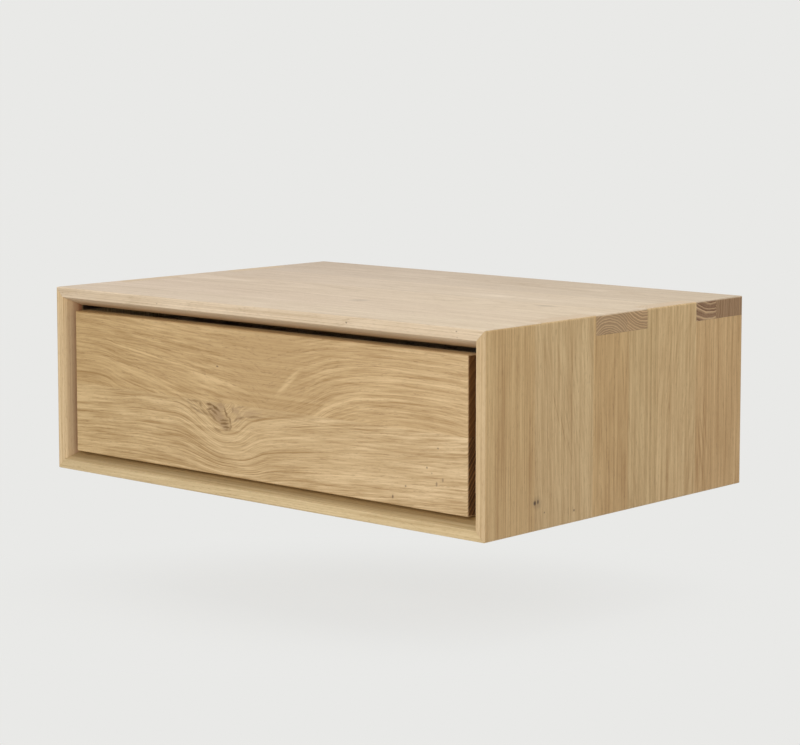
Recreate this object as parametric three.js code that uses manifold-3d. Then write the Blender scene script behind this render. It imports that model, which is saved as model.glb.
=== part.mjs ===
// Floating nightstand: a solid oak case that hangs on a bevelled wall cleat and holds one
// handle-less drawer on concealed ball runners, opened by a push latch.
// Millimetres, +Z up, the front faces -Y and the wall is the plane y = 0.
// The origin is the middle of the wall cleat's rear face.

import * as THREE from 'three';
import { mergeVertices } from 'three/addons/utils/BufferGeometryUtils.js';
import Module from 'manifold-3d';

const wasm = await Module();
wasm.setup();

// Case
const caseWidth = 550;
const caseDepth = 380;
const caseHeight = 180;
const boardThick = 18;
const frontBand = 9.5; // flat front edge that the inner bevel leaves
const bevelDepth = 17.5; // how far back the inner bevel runs
const arrisRadius = 2; // sanded outer edges
const cornerSteps = 5; // equal steps of a top corner joint, the front one mitred
const glueLine = 0.1; // film of glue between glued faces
const cutOverrun = 2; // how far a cutter runs past the piece it cuts

// Tongues in the bottom mitres
const tongueThick = 4;
const tongueWidth = 12;
const tongueSetIn = 1; // from the middle of the mitre towards the inner corner
const tongueFrontStop = 20;
const tongueRearStop = 12;

// Back panel, hanging strips and wall cleat
const backThick = 6;
const backGrooveDepth = 6;
const backPlay = 0.2;
const stripThick = 18;
const stripPlay = 0.5; // between the strips and the back panel
const railFrontHeight = 35;
const cleatRearHeight = 30;
const cleatEndRoom = 17; // between the wall cleat's ends and the sides
const cleatClearance = 0.3;
const battenHeight = 30;
const cleatHoleRadius = 2.6;
const cleatSinkRadius = 5;
const cleatHoleShares = [-0.42, -0.14, 0.14, 0.42]; // places along the cleat
const dowelRadius = 4;
const dowelLength = 30;
const dowelInSide = 12;
const railDowelEdge = 12; // upper dowel below the rail's top edge
const railDowelPitch = 16;

// Drawer box
const frontRecess = 5;
const frontThick = 18.5;
const frontSideGap = 4.5;
const frontTopGap = 4.8;
const frontFloorGap = 0.7;
const frontArris = 1.8;
const frontLap = 10; // wood left in front of the dovetails
const drawerSideThick = 16;
const drawerSideUnder = 14; // side's lower edge above the case floor
const drawerSideDrop = 15; // side's top edge below the drawer front's
const drawerBackThick = 16;
const drawerRearRoom = 40.5; // between the drawer and the back panel
const bottomThick = 8;
const bottomRecess = 13; // bottom panel above the side's lower edge
const bottomGrooveDepth = 6;
const bottomPlay = 0.2;
const sideEase = 1; // eased top edges of the drawer's sides and back
const frontTailCount = 3;
const backTailCount = 3;
const tailShare = 0.66; // of the pitch, at a tail's wide end
const tailSlopeShare = 0.16; // how far a tail's flank leans, of its length
const bottomScrewShares = [-0.31, 0, 0.31]; // places along the drawer back

// Concealed runners: fixed rail, middle channel and drawer channel, nested on balls
const runnerRearRoom = 30; // between the runner and the back panel, for a 300 mm runner
const runnerOverlap = 30; // what the travel lacks of the runner's length
const middleShortening = 10;
const runnerSetback = 2; // behind the drawer front
const runnerInset = 3.6; // from the drawer side to the drawer channel
const sheetThick = 1.2;
const railHeadHalf = 3.5; // half the fixed rail head's width and height
const ballRadius = 1.5;
const ballPlay = 0.1;
const slotHalf = 2.5;
const stemThick = 1.6;
const webUnder = 2; // web above the case floor
const flangeTop = 12.4; // flange's upper edge above the case floor
const cageSheet = 0.6;
const cageFrontRoom = 8.5; // beyond the cage's own travel
const cageRearRoom = 16.5;
const ballsPerRow = 3;
const hookTabHeight = 22;
const hookRadius = 2.5;
const hookReach = 9;
const hookRise = 7; // hook above the drawer bottom panel
const hookPlay = 0.3;
const runnerScrewShares = [0.04, 0.467, 0.893]; // places along the runner

// Couplings that hold the drawer on its runners, each with a sprung release lever
const lockGap = 0.3;
const lockWall = 2.2;
const lockWidth = 28;
const lockLength = 44;
const lockTop = 2.5;
const lockLip = 1.4;
const lockLipReach = 5;
const lockFlangeHeight = 18.6;
const leverPlay = 0.3;
const leverThick = 5.6;
const leverDrop = 9; // lever's upper face below the drawer bottom panel
const leverPivotIn = 14; // from the lock wall's face at the runner
const leverPivotBack = 22; // behind the drawer front
const leverBossRadius = 5.2;
const leverArmRadius = 2.8;
const leverPinRadius = 2.5;
const leverHeadRadius = 4;
const leverHeadThick = 1;
const leverPadRoom = 5.4; // between the drawer front and the thumb pad
const leverPadAside = 5;
const leverPadRadius = 3.6;
const leverNoseBack = 13;
const leverNoseWidth = 4;
const leverNoseBite = 0.9; // how far the nose stands in the channel's wall
const leverNoseRoot = 6; // from the nose's rear end back towards the pivot
const leverSwing = THREE.MathUtils.degToRad(8);

// Push latch on the case floor
const latchHeight = 11; // plunger's axis above the case floor
const latchSetback = 9.5; // housing behind the drawer front
const latchLength = 68;
const latchOuterRadius = 7;
const latchRearWall = 3;
const plungerRadius = 4;
const plungerPlay = 0.3;
const plungerLength = 35;
const plungerTipGap = 0.3; // between the rubber tip and the shut drawer front
const tipLength = 3;
const tipRadius = 4.6;
const tipArris = 0.8;
const springWire = 0.5;
const springRoom = 0.8; // between the spring and the bore
const springGap = 0.3;
const springTurns = 9;
const saddleWidth = 40;
const saddleLength = 46;
const saddleThick = 2.5;
const saddleCorner = 4;
const saddleWebWidth = 8;
const saddleScrewIn = 6; // screw's axis from the saddle's edge

// Screws
const screwHeadRadius = 3.2;
const screwHeadHeight = 1.9;
const screwRadius = 1.7;
const screwLength = 14;
const screwPoint = 3;
const screwCrown = 0.6;
const screwPlay = 0.05;
const screwSeatPlay = 0.02;

// Roundness: numbers of flat facets
const arcSteps = 2; // each curve step makes two facets of a quarter turn
const roundFacets = 12;
const tubeFacets = 16;
const ballFacets = 6;
const ballRings = 4;
const springFacets = 5;
const springStepsPerTurn = 8;

// Sizes worked out from the ones above
const halfWidth = caseWidth / 2;
const frontY = -caseDepth;
const floorZ = boardThick;
const ceilingZ = caseHeight - boardThick;
const innerHalf = halfWidth - boardThick;
const stepDepth = caseDepth / cornerSteps;
const backRearY = -stripThick - stripPlay;
const backFrontY = backRearY - backThick;
const cleatLength = (innerHalf - cleatEndRoom) * 2;
const railLowZ = ceilingZ - railFrontHeight;
const cleatRearTopZ = railLowZ - stripThick - cleatClearance;
const cleatBottomZ = cleatRearTopZ - cleatRearHeight;
const originZ = cleatRearTopZ - cleatRearHeight / 2;

const faceY = frontY + frontRecess;
const frontBackY = faceY + frontThick;
const frontHalf = innerHalf - frontSideGap;
const frontLowZ = floorZ + frontFloorGap;
const frontTopZ = ceilingZ - frontTopGap;
const sideLowZ = floorZ + drawerSideUnder;
const sideTopZ = frontTopZ - drawerSideDrop;
const sideInnerX = frontHalf - drawerSideThick;
const panelLowZ = sideLowZ + bottomRecess;
const panelTopZ = panelLowZ + bottomThick;
const drawerRearY = backFrontY - drawerRearRoom;
const drawerBackY = drawerRearY - drawerBackThick;

const runnerFrontY = frontBackY + runnerSetback;
const runnerRearY = backFrontY - runnerRearRoom;
const runnerLength = runnerRearY - runnerFrontY;
const middleRearY = runnerRearY - middleShortening;
const drawerTravel = runnerLength - runnerOverlap;
const cageFrontY = runnerFrontY + drawerTravel / 4 + cageFrontRoom;
const cageRearY = middleRearY - drawerTravel / 4 - cageRearRoom;
const middleHalf = railHeadHalf + ballRadius + ballPlay + sheetThick;
const channelHalf = middleHalf + ballRadius + ballPlay + sheetThick;
const runnerX = sideInnerX - runnerInset - channelHalf;
const runnerZ = panelLowZ - channelHalf;
const lockX = runnerX - channelHalf - lockGap;
const leverX = lockX - leverPivotIn;
const leverY = frontBackY + leverPivotBack;
const leverTopZ = panelLowZ - leverDrop;
const leverLowZ = leverTopZ - leverThick;
const leverPadForward = leverPivotBack - leverPadRoom - leverPadRadius;
const noseTipX = runnerX - channelHalf + leverNoseBite;
const noseSweep = (noseTipX - leverX) * Math.sin(leverSwing);

const latchZ = floorZ + latchHeight;
const latchFrontY = frontBackY + latchSetback;
const tipFrontY = frontBackY + plungerTipGap;
const plungerFrontY = tipFrontY + tipLength;
const plungerRearY = plungerFrontY + plungerLength;
const latchRearY = latchFrontY + latchLength;
const boreRadius = plungerRadius + plungerPlay;
const springRadius = boreRadius - springRoom - springWire;

// Finishes
const oak = { color: 0xc4a277, roughness: 0.62, metalness: 0 };
const oakDrawer = { color: 0xc9a674, roughness: 0.62, metalness: 0 };
const beech = { color: 0xcdb08a, roughness: 0.7, metalness: 0 };
const birchPly = { color: 0xd6bf98, roughness: 0.7, metalness: 0 };
const zincSteel = { color: 0xb9bcc0, roughness: 0.38, metalness: 0.9 };
const ballSteel = { color: 0x9da1a6, roughness: 0.3, metalness: 0.9 };
const greyPlastic = { color: 0x6e7276, roughness: 0.5, metalness: 0 };
const orangePlastic = { color: 0xc96f33, roughness: 0.5, metalness: 0 };
const rubber = { color: 0x2d2d2e, roughness: 0.85, metalness: 0 };

// Closed geometry with shared vertices, as a solid that can be joined and cut
function solid(geometry) {
  geometry.deleteAttribute('normal');
  geometry.deleteAttribute('uv');
  const merged = mergeVertices(geometry);
  return new wasm.Manifold(new wasm.Mesh({
    numProp: 3,
    vertProperties: new Float32Array(merged.attributes.position.array),
    triVerts: new Uint32Array(merged.index.array),
  }));
}

function outlineOf(points) {
  return new THREE.Shape(points.map(([a, b]) => new THREE.Vector2(a, b)));
}

const axisX = new THREE.Vector3(1, 0, 0);
const axisY = new THREE.Vector3(0, 1, 0);
const axisZ = new THREE.Vector3(0, 0, 1);

// A straight prism. Its outline is drawn in (y, z) along x, in (x, z) along y and in (x, y) along z.
function prism(along, shape, from, to) {
  const geometry = new THREE.ExtrudeGeometry(shape, {
    depth: to - from,
    bevelEnabled: false,
    curveSegments: arcSteps,
  });
  const turned = new THREE.Matrix4();
  if (along === 'x') {
    turned.makeBasis(axisY, axisZ, axisX).setPosition(from, 0, 0);
  } else if (along === 'y') {
    turned.makeBasis(axisX, axisZ, axisY.clone().negate()).setPosition(0, to, 0);
  } else {
    turned.makeTranslation(0, 0, from);
  }
  return solid(geometry.applyMatrix4(turned));
}

function block(x0, x1, y0, y1, z0, z1) {
  const geometry = new THREE.BoxGeometry(Math.abs(x1 - x0), Math.abs(y1 - y0), Math.abs(z1 - z0));
  return solid(geometry.translate((x0 + x1) / 2, (y0 + y1) / 2, (z0 + z1) / 2));
}

function roundedRect(a0, a1, b0, b1, radius) {
  const shape = new THREE.Shape();
  shape.absarc(a1 - radius, b1 - radius, radius, 0, Math.PI / 2);
  shape.absarc(a0 + radius, b1 - radius, radius, Math.PI / 2, Math.PI);
  shape.absarc(a0 + radius, b0 + radius, radius, Math.PI, Math.PI * 1.5);
  shape.absarc(a1 - radius, b0 + radius, radius, Math.PI * 1.5, Math.PI * 2);
  return shape;
}

// A block with every edge rounded: three rounded prisms share it
function easedBlock(x0, x1, y0, y1, z0, z1, radius) {
  return prism('x', roundedRect(y0, y1, z0, z1, radius), x0, x1)
    .intersect(prism('y', roundedRect(x0, x1, z0, z1, radius), y0, y1))
    .intersect(prism('z', roundedRect(x0, x1, y0, y1, radius), z0, z1));
}

// A turned piece: profile of [radius, height] from axis to axis, its height laid along a direction
function turned(profile, facets, direction, x, y, z) {
  const points = profile.map(([radius, height]) => new THREE.Vector2(radius, height));
  const geometry = new THREE.LatheGeometry(points, facets);
  geometry.applyQuaternion(new THREE.Quaternion().setFromUnitVectors(axisY, direction));
  return solid(geometry.translate(x, y, z));
}

function rod(radius, length, facets, direction, x, y, z) {
  return turned([[0, 0], [radius, 0], [radius, length], [0, length]], facets, direction, x, y, z);
}

// A pan-head screw whose head sits at the given point and looks along the direction
function screw(direction, x, y, z, play, seatPlay) {
  const shank = screwRadius + play;
  const head = screwHeadRadius + play;
  const profile = [
    [0, -screwLength - play],
    [shank, screwPoint - screwLength],
    [shank, seatPlay],
    [head, seatPlay],
    [head, screwHeadHeight - screwCrown],
    [head - screwCrown, screwHeadHeight],
    [0, screwHeadHeight],
  ];
  return turned(profile, roundFacets, direction, x, y, z);
}

const makeScrew = (direction, x, y, z) => screw(direction, x, y, z, 0, screwSeatPlay);
const screwHole = (direction, x, y, z) => screw(direction, x, y, z, screwPlay, 0);

// The case boards. Every outer edge is rounded together, as the glued-up case is sanded.
const sandedCase = easedBlock(-halfWidth, halfWidth, frontY, 0, 0, caseHeight, arrisRadius);

// The 45 degree plane of a case corner: waste beyond it, for the board on one side of the mitre
function mitreWaste(side, cornerZ, innerZ, keepsTopOrBottom, y0, y1) {
  const half = glueLine / Math.SQRT2;
  const shift = keepsTopOrBottom ? -half : half;
  const outer = side * (halfWidth + shift);
  const inner = side * (innerHalf + shift);
  const run = side * cutOverrun;
  const rise = Math.sign(cornerZ - innerZ) * cutOverrun;
  const points = keepsTopOrBottom
    ? [[inner - run, innerZ - rise], [outer + run, cornerZ + rise], [outer + run, innerZ - rise]]
    : [[inner - run, innerZ - rise], [outer + run, cornerZ + rise], [inner - run, cornerZ + rise]];
  return prism('y', outlineOf(points), y0, y1);
}

// Steps 1 and 3 of a top corner belong to the side board, steps 2 and 4 to the top board
function fingerWaste(side, ownedBySide) {
  const inner = side * (innerHalf - (ownedBySide ? glueLine : cutOverrun));
  const outer = side * (halfWidth + cutOverrun);
  const lowZ = ceilingZ - (ownedBySide ? cutOverrun : glueLine);
  const highZ = caseHeight + cutOverrun;
  const wastes = [];
  for (let step = 1; step < cornerSteps; step += 1) {
    const sideOwns = step % 2 === 1;
    if (sideOwns === ownedBySide) {
      const start = frontY + step * stepDepth - glueLine / 2;
      const last = step === cornerSteps - 1;
      const end = frontY + (step + 1) * stepDepth + (last ? cutOverrun : glueLine / 2);
      wastes.push(block(inner, outer, start, end, lowZ, highZ));
    }
  }
  return wastes;
}

function backPanelSolid(play) {
  const reach = backGrooveDepth + play;
  return block(-innerHalf - reach, innerHalf + reach, backFrontY - play, backRearY + play,
    floorZ - reach, ceilingZ + reach);
}

// A plywood tongue lies square to the mitre, so its section is a rectangle turned 45 degrees
function tongueSolid(side, play) {
  const across = (tongueWidth / 2 + play) * Math.SQRT1_2;
  const thick = (tongueThick / 2 + play) * Math.SQRT1_2;
  const middleX = side * ((halfWidth + innerHalf) / 2 - tongueSetIn);
  const middleZ = boardThick / 2 + tongueSetIn;
  const points = [
    [middleX + side * (-across - thick), middleZ - across + thick],
    [middleX + side * (-across + thick), middleZ - across - thick],
    [middleX + side * (across + thick), middleZ + across - thick],
    [middleX + side * (across - thick), middleZ + across + thick],
  ];
  return prism('y', outlineOf(points), frontY + tongueFrontStop - play, -tongueRearStop + play);
}

// Section of a board with its inner front edge bevelled: depth from the front against height
function boardSection(outerZ, innerZ) {
  const inward = Math.sign(innerZ - outerZ);
  return outlineOf([
    [frontY, outerZ],
    [0, outerZ],
    [0, innerZ],
    [frontY + bevelDepth, innerZ],
    [frontY, outerZ + inward * frontBand],
  ]);
}

function topPanel() {
  let board = prism('x', boardSection(caseHeight, ceilingZ), -halfWidth, halfWidth);
  const mitreEnd = frontY + stepDepth - glueLine / 2;
  for (const side of [-1, 1]) {
    board = board.subtract(mitreWaste(side, caseHeight, ceilingZ, true, frontY - cutOverrun, mitreEnd));
    board = fingerWaste(side, true).reduce((left, waste) => left.subtract(waste), board);
  }
  return board.subtract(backPanelSolid(backPlay)).intersect(sandedCase);
}

function bottomPanel() {
  let board = prism('x', boardSection(0, floorZ), -halfWidth, halfWidth);
  for (const side of [-1, 1]) {
    board = board
      .subtract(mitreWaste(side, 0, floorZ, true, frontY - cutOverrun, cutOverrun))
      .subtract(tongueSolid(side, glueLine));
  }
  board = board.subtract(backPanelSolid(backPlay));
  for (const [direction, x, y, z] of latchScrewPlaces()) {
    board = board.subtract(screwHole(direction, x, y, z));
  }
  return board.intersect(sandedCase);
}

// Dowels of the strips: the name and the height of each one
const stripMiddleY = -stripThick / 2;
const railDowelZ = ceilingZ - railDowelEdge;
const dowelPlaces = [
  ['upper_rail_dowel', railDowelZ],
  ['lower_rail_dowel', railDowelZ - railDowelPitch],
  ['batten_dowel', floorZ + battenHeight / 2],
];

function dowelSolid(side, z, play) {
  const outer = side * (innerHalf + dowelInSide + play);
  const direction = axisX.clone().multiplyScalar(-side);
  const length = dowelLength + play + play;
  return rod(dowelRadius + play, length, roundFacets, direction, outer, stripMiddleY, z);
}

function sidePanel(side) {
  const sectionShape = outlineOf([
    [side * halfWidth, frontY],
    [side * halfWidth, 0],
    [side * innerHalf, 0],
    [side * innerHalf, frontY + bevelDepth],
    [side * (halfWidth - frontBand), frontY],
  ]);
  const mitreEnd = frontY + stepDepth + glueLine / 2;
  let board = prism('z', sectionShape, 0, caseHeight)
    .subtract(mitreWaste(side, caseHeight, ceilingZ, false, frontY - cutOverrun, mitreEnd))
    .subtract(mitreWaste(side, 0, floorZ, false, frontY - cutOverrun, cutOverrun))
    .subtract(tongueSolid(side, glueLine))
    .subtract(backPanelSolid(backPlay));
  board = fingerWaste(side, false).reduce((left, waste) => left.subtract(waste), board);
  for (const [, z] of dowelPlaces) {
    board = board.subtract(dowelSolid(side, z, glueLine));
  }
  for (const [direction, x, y, z] of runnerScrewPlaces(side)) {
    board = board.subtract(screwHole(direction, x, y, z));
  }
  return board.intersect(sandedCase);
}

// The strips between the sides, and the cleat that the rail hooks over
function hangingRail() {
  const section = outlineOf([
    [0, ceilingZ - glueLine],
    [-stripThick, ceilingZ - glueLine],
    [-stripThick, railLowZ],
    [0, railLowZ - stripThick],
  ]);
  const ends = innerHalf - glueLine;
  let rail = prism('x', section, -ends, ends);
  for (const side of [-1, 1]) {
    for (const [name, z] of dowelPlaces) {
      if (name.includes('rail')) {
        rail = rail.subtract(dowelSolid(side, z, glueLine));
      }
    }
  }
  return rail;
}

function spacerBatten() {
  const ends = innerHalf - glueLine;
  let batten = block(-ends, ends, -stripThick, 0, floorZ + glueLine, floorZ + battenHeight);
  for (const side of [-1, 1]) {
    batten = batten.subtract(dowelSolid(side, floorZ + battenHeight / 2, glueLine));
  }
  return batten;
}

function wallCleat() {
  const section = outlineOf([
    [0, cleatBottomZ],
    [0, cleatRearTopZ],
    [-stripThick, cleatRearTopZ + stripThick],
    [-stripThick, cleatBottomZ],
  ]);
  let cleat = prism('x', section, -cleatLength / 2, cleatLength / 2);
  const sink = cleatSinkRadius - cleatHoleRadius;
  const countersunk = [
    [0, -cutOverrun],
    [cleatHoleRadius, -cutOverrun],
    [cleatHoleRadius, stripThick - sink],
    [cleatSinkRadius, stripThick],
    [cleatSinkRadius, stripThick + cutOverrun],
    [0, stripThick + cutOverrun],
  ];
  for (const share of cleatHoleShares) {
    const forward = axisY.clone().negate();
    cleat = cleat.subtract(turned(countersunk, roundFacets, forward, share * cleatLength, 0, originZ));
  }
  return cleat;
}

// The drawer box. A dovetail is drawn in (y, z) and runs through the side's thickness.
function tailOutlines(shoulderY, endY, lowZ, highZ, count, play) {
  const pitch = (highZ - lowZ) / count;
  const towards = Math.sign(endY - shoulderY);
  const wide = pitch * tailShare / 2 + play;
  const narrow = wide - Math.abs(endY - shoulderY) * tailSlopeShare;
  const outlines = [];
  for (let tail = 0; tail < count; tail += 1) {
    const middle = lowZ + (tail + 0.5) * pitch;
    outlines.push(outlineOf([
      [shoulderY - towards * cutOverrun, middle - narrow],
      [shoulderY, middle - narrow],
      [endY + towards * play, middle - wide],
      [endY + towards * play, middle + wide],
      [shoulderY, middle + narrow],
      [shoulderY - towards * cutOverrun, middle + narrow],
    ]));
  }
  return outlines;
}

function sideTails(side, play) {
  const inner = side * (sideInnerX - play);
  const outer = side * (frontHalf + (play ? cutOverrun : 0));
  const low = Math.min(inner, outer);
  const high = Math.max(inner, outer);
  const tailEndY = faceY + frontLap;
  return [
    ...tailOutlines(frontBackY, tailEndY, sideLowZ, sideTopZ, frontTailCount, play),
    ...tailOutlines(drawerBackY, drawerRearY, panelTopZ, sideTopZ, backTailCount, play),
  ].map((outline) => prism('x', outline, low, high));
}

function drawerBottomSolid(play) {
  const reach = sideInnerX + bottomGrooveDepth + play;
  const rear = drawerRearY + (play ? cutOverrun : 0);
  return block(-reach, reach, frontBackY - bottomGrooveDepth - play, rear,
    panelLowZ - play / 2, panelTopZ + play / 2);
}

function drawerFront() {
  let board = easedBlock(-frontHalf, frontHalf, faceY, frontBackY, frontLowZ, frontTopZ, frontArris);
  for (const side of [-1, 1]) {
    board = sideTails(side, glueLine).reduce((left, tail) => left.subtract(tail), board);
    for (const [direction, x, y, z] of lockScrewPlaces(side)) {
      board = board.subtract(screwHole(direction, x, y, z));
    }
  }
  return board.subtract(drawerBottomSolid(bottomPlay));
}

function drawerSide(side) {
  const outer = side * frontHalf;
  const inner = side * sideInnerX;
  const body = block(outer, inner, frontBackY + glueLine, drawerBackY - glueLine, sideLowZ, sideTopZ);
  const heel = block(outer, inner, drawerBackY - cutOverrun, drawerRearY, sideLowZ, panelTopZ - glueLine);
  const board = sideTails(side, 0).reduce((left, tail) => left.add(tail), body.add(heel));
  const topEdge = roundedRect(Math.min(outer, inner), Math.max(outer, inner),
    sideLowZ - sideEase - cutOverrun, sideTopZ, sideEase);
  return board
    .subtract(drawerBottomSolid(bottomPlay))
    .intersect(prism('y', topEdge, faceY, drawerRearY));
}

function drawerBack() {
  const lowEdge = panelTopZ - sideEase - cutOverrun;
  const topEdge = roundedRect(drawerBackY, drawerRearY, lowEdge, sideTopZ, sideEase);
  let board = prism('x', topEdge, -frontHalf, frontHalf)
    .intersect(block(-frontHalf, frontHalf, drawerBackY, drawerRearY, panelTopZ, sideTopZ));
  for (const side of [-1, 1]) {
    board = sideTails(side, glueLine).reduce((left, tail) => left.subtract(tail), board);
    const hookHole = hookReach + hookPlay;
    board = board.subtract(rod(hookRadius + hookPlay, hookHole + cutOverrun, roundFacets,
      axisY, side * runnerX, drawerRearY - hookHole, panelTopZ + hookRise));
  }
  for (const [direction, x, y, z] of bottomScrewPlaces()) {
    board = board.subtract(screwHole(direction, x, y, z));
  }
  return board;
}

function drawerBottom() {
  let panel = drawerBottomSolid(0);
  for (const [direction, x, y, z] of bottomScrewPlaces()) {
    panel = panel.subtract(screwHole(direction, x, y, z));
  }
  return panel;
}

function bottomScrewPlaces() {
  const y = drawerBackY + drawerBackThick / 2;
  return bottomScrewShares.map((share) => [axisZ.clone().negate(), share * 2 * frontHalf, y, panelLowZ]);
}

// Section of a channel that is open below: quarter rounds about the four ball centres
function channelShape(x, ballAt, innerRadius, outerRadius) {
  const inner = ballAt + innerRadius;
  const outer = ballAt + outerRadius;
  const shape = new THREE.Shape();
  shape.moveTo(x + slotHalf, runnerZ - inner);
  shape.lineTo(x + slotHalf, runnerZ - outer);
  shape.absarc(x + ballAt, runnerZ - ballAt, outerRadius, -Math.PI / 2, 0);
  shape.absarc(x + ballAt, runnerZ + ballAt, outerRadius, 0, Math.PI / 2);
  shape.absarc(x - ballAt, runnerZ + ballAt, outerRadius, Math.PI / 2, Math.PI);
  shape.absarc(x - ballAt, runnerZ - ballAt, outerRadius, Math.PI, Math.PI * 1.5);
  shape.lineTo(x - slotHalf, runnerZ - outer);
  shape.lineTo(x - slotHalf, runnerZ - inner);
  shape.absarc(x - ballAt, runnerZ - ballAt, innerRadius, Math.PI * 1.5, Math.PI, true);
  shape.absarc(x - ballAt, runnerZ + ballAt, innerRadius, Math.PI, Math.PI / 2, true);
  shape.absarc(x + ballAt, runnerZ + ballAt, innerRadius, Math.PI / 2, 0, true);
  shape.absarc(x + ballAt, runnerZ - ballAt, innerRadius, 0, -Math.PI / 2, true);
  return shape;
}

const raceRadius = ballRadius + ballPlay;

// Concave races for the balls, cut along the four corners of a rail or channel
function cutRaces(rail, x, ballAt, y0, y1) {
  let left = rail;
  for (const [across, up] of [[-1, -1], [-1, 1], [1, -1], [1, 1]]) {
    left = left.subtract(rod(raceRadius, y1 - y0 + cutOverrun * 2, tubeFacets, axisY,
      x + across * ballAt, y0 - cutOverrun, runnerZ + up * ballAt));
  }
  return left;
}

// The fixed rail: a flange on the case side, a web under the drawer side and the rail head
function cabinetProfile(side) {
  const x = side * runnerX;
  const webLow = floorZ + webUnder;
  const stem = stemThick / 2;
  const head = cutRaces(
    block(x - railHeadHalf, x + railHeadHalf, runnerFrontY, runnerRearY,
      runnerZ - railHeadHalf, runnerZ + railHeadHalf),
    x, railHeadHalf, runnerFrontY, runnerRearY);
  let rail = head
    .add(block(x - stem, x + stem, runnerFrontY, runnerRearY, webLow, runnerZ))
    .add(block(x - side * stem, side * innerHalf, runnerFrontY, runnerRearY, webLow, webLow + sheetThick))
    .add(block(side * (innerHalf - sheetThick), side * innerHalf, runnerFrontY, runnerRearY,
      webLow, floorZ + flangeTop));
  for (const [direction, screwX, y, z] of runnerScrewPlaces(side)) {
    rail = rail.subtract(screwHole(direction, screwX, y, z));
  }
  return rail;
}

function runnerScrewPlaces(side) {
  const middleZ = floorZ + (webUnder + sheetThick + flangeTop) / 2;
  const inward = axisX.clone().multiplyScalar(-side);
  const x = side * (innerHalf - sheetThick);
  return runnerScrewShares.map((share) => [inward, x, runnerFrontY + share * runnerLength, middleZ]);
}

function middleProfile(side) {
  const x = side * runnerX;
  const shape = channelShape(x, railHeadHalf, raceRadius, raceRadius + sheetThick);
  const channel = prism('y', shape, runnerFrontY, middleRearY);
  return cutRaces(channel, x, middleHalf, runnerFrontY, middleRearY);
}

// The drawer's channel: notched for the release lever, with a hook that enters the drawer back
function drawerProfile(side) {
  const x = side * runnerX;
  const tabY = drawerRearY;
  const tabRear = tabY + sheetThick;
  const shape = channelShape(x, middleHalf, raceRadius, raceRadius + sheetThick);
  const roofZ = panelLowZ - sheetThick;
  const tabHalf = channelHalf - raceRadius;
  const hookZ = panelTopZ + hookRise;
  return prism('y', shape, runnerFrontY, tabY)
    .subtract(noseWindow(side, side * (runnerX - middleHalf - ballRadius),
      side * (runnerX - channelHalf - lockGap)))
    .add(block(x - tabHalf, x + tabHalf, tabY - cutOverrun, tabY, roofZ, panelLowZ))
    .add(block(x - tabHalf, x + tabHalf, tabY, tabRear, roofZ, panelLowZ + hookTabHeight))
    .add(rod(hookRadius, hookReach + sheetThick / 2, roundFacets, axisY, x, tabY - hookReach, hookZ));
}

// A cage of thin sheet that carries the balls of one pair of profiles
function ballCage(side, ballAt) {
  const x = side * runnerX;
  const innerRadius = (raceRadius - cageSheet) / 2;
  const shape = channelShape(x, ballAt, innerRadius, innerRadius + cageSheet);
  let cage = prism('y', shape, cageFrontY, cageRearY);
  for (let ball = 0; ball < ballsPerRow; ball += 1) {
    const share = (ball + 0.5) / ballsPerRow;
    const y = THREE.MathUtils.lerp(cageFrontY, cageRearY, share);
    for (const [across, up] of [[-1, -1], [-1, 1], [1, -1], [1, 1]]) {
      const sphere = new THREE.SphereGeometry(ballRadius, ballFacets, ballRings);
      sphere.translate(x + across * ballAt, y, runnerZ + up * ballAt);
      cage = cage.add(solid(sphere));
    }
  }
  return cage;
}

// Where the lever's nose reaches through the lock wall into the drawer channel
function noseWindow(side, x0, x1) {
  const noseY = leverY + leverNoseBack;
  return block(x0, x1, noseY - leverNoseWidth / 2 - leverPlay,
    noseY + leverNoseWidth / 2 + noseSweep + leverPlay, leverLowZ - leverPlay, leverTopZ + leverPlay);
}

function lockScrewPlaces(side) {
  const y = frontBackY + lockWall;
  const z = leverTopZ + (panelLowZ - lockTop - leverTopZ) / 2;
  const spread = lockWidth / 2 - screwHeadRadius - lockTop;
  return [-1, 1].map((end) => [axisY, side * (lockX - lockWidth / 2 - end * spread), y, z]);
}

// The lock body hugs the channel's inner flank, and its lip holds the channel down
function lockBody(side) {
  const near = side * lockX;
  const far = side * (lockX - lockWidth);
  const rear = frontBackY + lockLength;
  const lipTop = runnerZ - channelHalf - lockGap;
  const lipLow = lipTop - lockLip;
  const pinTop = panelLowZ - lockTop;
  const pinHeight = pinTop - leverLowZ + leverPlay + leverHeadThick + lockTop / 2;
  const pin = [
    [0, 0],
    [leverHeadRadius, 0],
    [leverHeadRadius, leverHeadThick],
    [leverPinRadius, leverHeadThick],
    [leverPinRadius, leverHeadThick + leverThick + leverPlay * 2],
    [leverHeadRadius, leverHeadThick + leverThick + leverPlay * 2],
    [leverHeadRadius, pinHeight],
    [0, pinHeight],
  ];
  let body = block(near, far, frontBackY, rear, pinTop, panelLowZ)
    .add(block(near, side * (lockX - lockWall), frontBackY, rear, lipLow, panelLowZ))
    .add(block(side * (lockX - lockWall), side * (lockX + lockLipReach), frontBackY, rear, lipLow, lipTop))
    .add(block(near, far, frontBackY, frontBackY + lockWall, panelLowZ - lockFlangeHeight, panelLowZ))
    .add(turned(pin, roundFacets, axisZ, side * leverX, leverY, leverLowZ - leverPlay - leverHeadThick))
    .subtract(noseWindow(side, side * (lockX + lockGap), side * (lockX - lockWall - cutOverrun)));
  for (const [direction, x, y, z] of lockScrewPlaces(side)) {
    body = body.subtract(screwHole(direction, x, y, z));
  }
  return body;
}

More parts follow.
